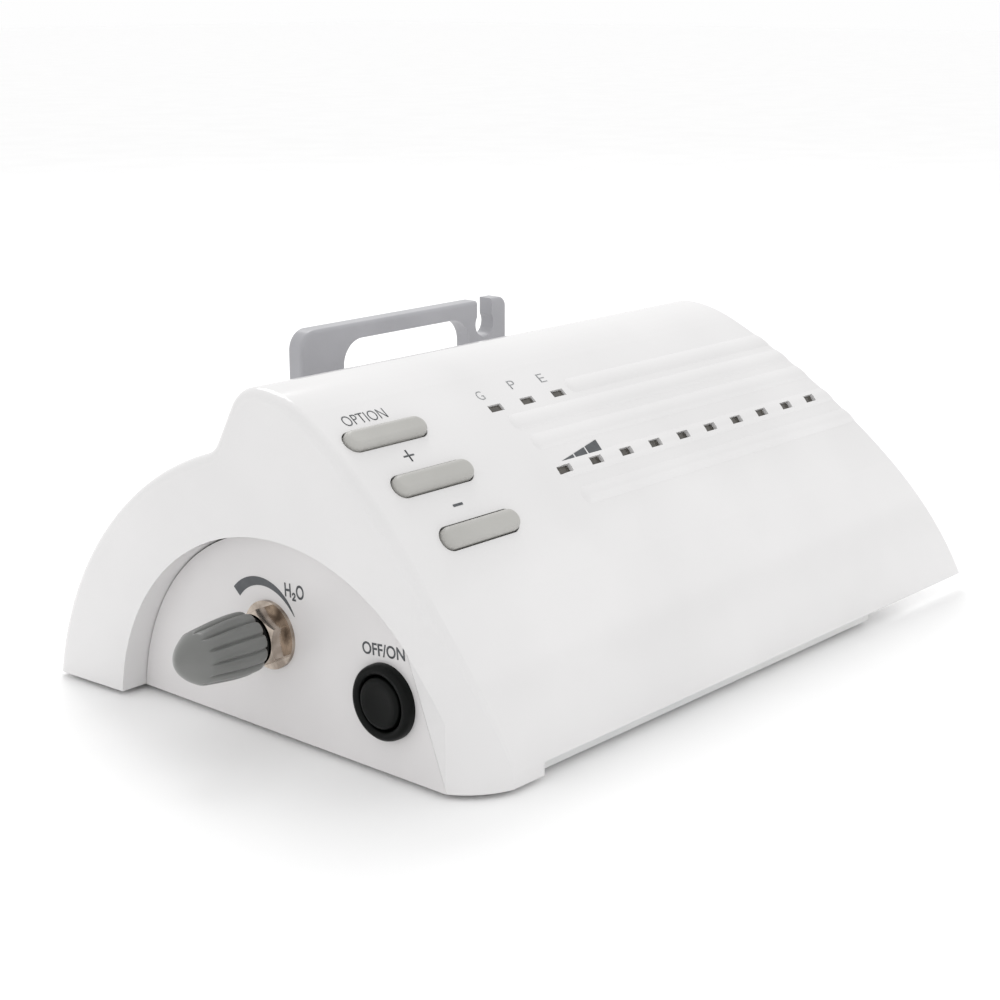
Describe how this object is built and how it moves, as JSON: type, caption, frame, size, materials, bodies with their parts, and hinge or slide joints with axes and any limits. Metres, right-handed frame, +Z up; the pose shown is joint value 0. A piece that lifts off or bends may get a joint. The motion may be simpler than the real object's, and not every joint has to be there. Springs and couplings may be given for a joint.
{
  "type": "dental ultrasonic scaler console",
  "caption": "Table-top ultrasonic scaler console: curved white cover with bar keys, light row, side water knob, round power switch, handpiece rest.",
  "frame": {"origin": "middle of the footprint's bounding box, on the table", "axes": "+X to the console's right (its longest side), +Y to the rear, +Z up"},
  "size_m": [0.2614, 0.1502, 0.0984],
  "materials": {
    "white_cover": "glossy moulded",
    "white_panel": "glossy moulded",
    "white_base": "fine texture",
    "black_rubber": "matt",
    "zinc_steel": "zinc plated",
    "grey_holder": "satin moulded",
    "grey_key": "satin moulded",
    "grey_knob": "satin moulded",
    "black_nylon": "satin moulded",
    "spring_steel": "drawn",
    "brass": "turned",
    "nickel": "nickel plated",
    "smoked_lens": "clear smoked",
    "led_body": "moulded",
    "green_laminate": "solder mask",
    "clear_hose": "soft clear tube",
    "coil_tape": "polyester tape",
    "black_sleeve": "shrink sleeve",
    "black_aluminium": "black anodised",
    "black_epoxy": "moulded",
    "ferrite": "sintered",
    "core_steel": "laminated"
  },
  "bodies": {
    "console": {"base_screws": "zinc_steel", "base_tray": "white_base", "board_chips": "black_epoxy", "board_screws": "zinc_steel", "capacitors": "black_sleeve", "connector_panel": "white_panel", "display_board": "green_laminate", "display_board_screws": "zinc_steel", "foot_socket": "nickel", "foot_socket_nut": "nickel", "foot_socket_pins": "brass", "handpiece_gland": "black_nylon", "handpiece_gland_nut": "black_nylon", "handpiece_holder": "grey_holder", "heat_sink": "black_aluminium", "holder_screws": "zinc_steel", "inlet_hose": "clear_hose", "level_leds": "led_body", "level_light_pipes": "smoked_lens", "main_board": "green_laminate", "mains_inlet": "black_nylon", "mains_pins": "brass", "mains_transformer_coil": "coil_tape", "mains_transformer_core": "core_steel", "mode_leds": "led_body", "mode_light_pipes": "smoked_lens", "outlet_hose": "clear_hose", "output_transformer_core": "ferrite", "output_transformer_winding": "coil_tape", "power_switch_body": "black_nylon", "power_switch_spring": "spring_steel", "power_switch_terminals": "brass", "power_transistors": "black_epoxy", "rubber_feet": "black_rubber", "side_panel": "white_panel", "solenoid_body": "brass", "solenoid_coil": "coil_tape", "solenoid_spring": "spring_steel", "standoffs": "white_base", "tact_switch_bodies": "black_nylon", "top_cover": "white_cover", "valve_block": "brass", "valve_gland": "black_nylon", "valve_hose": "clear_hose", "valve_nut": "nickel", "valve_o_ring": "black_rubber", "valve_washer": "nickel", "water_inlet": "nickel", "water_inlet_nut": "nickel"},
    "option_button": {"option_key": "grey_key", "option_plunger": "black_nylon"},
    "plus_button": {"plus_key": "grey_key", "plus_plunger": "black_nylon"},
    "minus_button": {"minus_key": "grey_key", "minus_plunger": "black_nylon"},
    "power_button": {"power_switch_cap": "black_nylon"},
    "knob": {"water_knob": "grey_knob", "valve_spindle": "spring_steel", "valve_needle": "spring_steel"},
    "plunger": {"solenoid_plunger": "spring_steel"}
  },
  "joints": [
    {"name": "option_press", "type": "slide", "parent": "console", "child": "option_button", "axis": [0, 0.6157, -0.788], "range_m": [0, 0.0008], "stiffness_N_per_m": 900, "springref_m": -0.0006},
    {"name": "plus_press", "type": "slide", "parent": "console", "child": "plus_button", "axis": [0, 0.7009, -0.7133], "range_m": [0, 0.0008], "stiffness_N_per_m": 900, "springref_m": -0.0006},
    {"name": "minus_press", "type": "slide", "parent": "console", "child": "minus_button", "axis": [0, 0.7815, -0.6239], "range_m": [0, 0.0008], "stiffness_N_per_m": 900, "springref_m": -0.0006},
    {"name": "power_press", "type": "slide", "parent": "console", "child": "power_button", "axis": [1, 0, 0], "range_m": [0, 0.002], "stiffness_N_per_m": 900, "springref_m": -0.001, "deforming": ["power_switch_spring"]},
    {"name": "water_turn", "type": "hinge", "parent": "console", "child": "knob", "pos_m": [-0.1075, -0.0043, 0.0279], "axis": [-1, 0, 0], "range_deg": [-150, 120]},
    {"name": "solenoid_lift", "type": "slide", "parent": "console", "child": "plunger", "axis": [0, 0, 1], "range_m": [0, 0.001], "stiffness_N_per_m": 400, "springref_m": -0.001, "deforming": ["solenoid_spring"]}
  ]
}
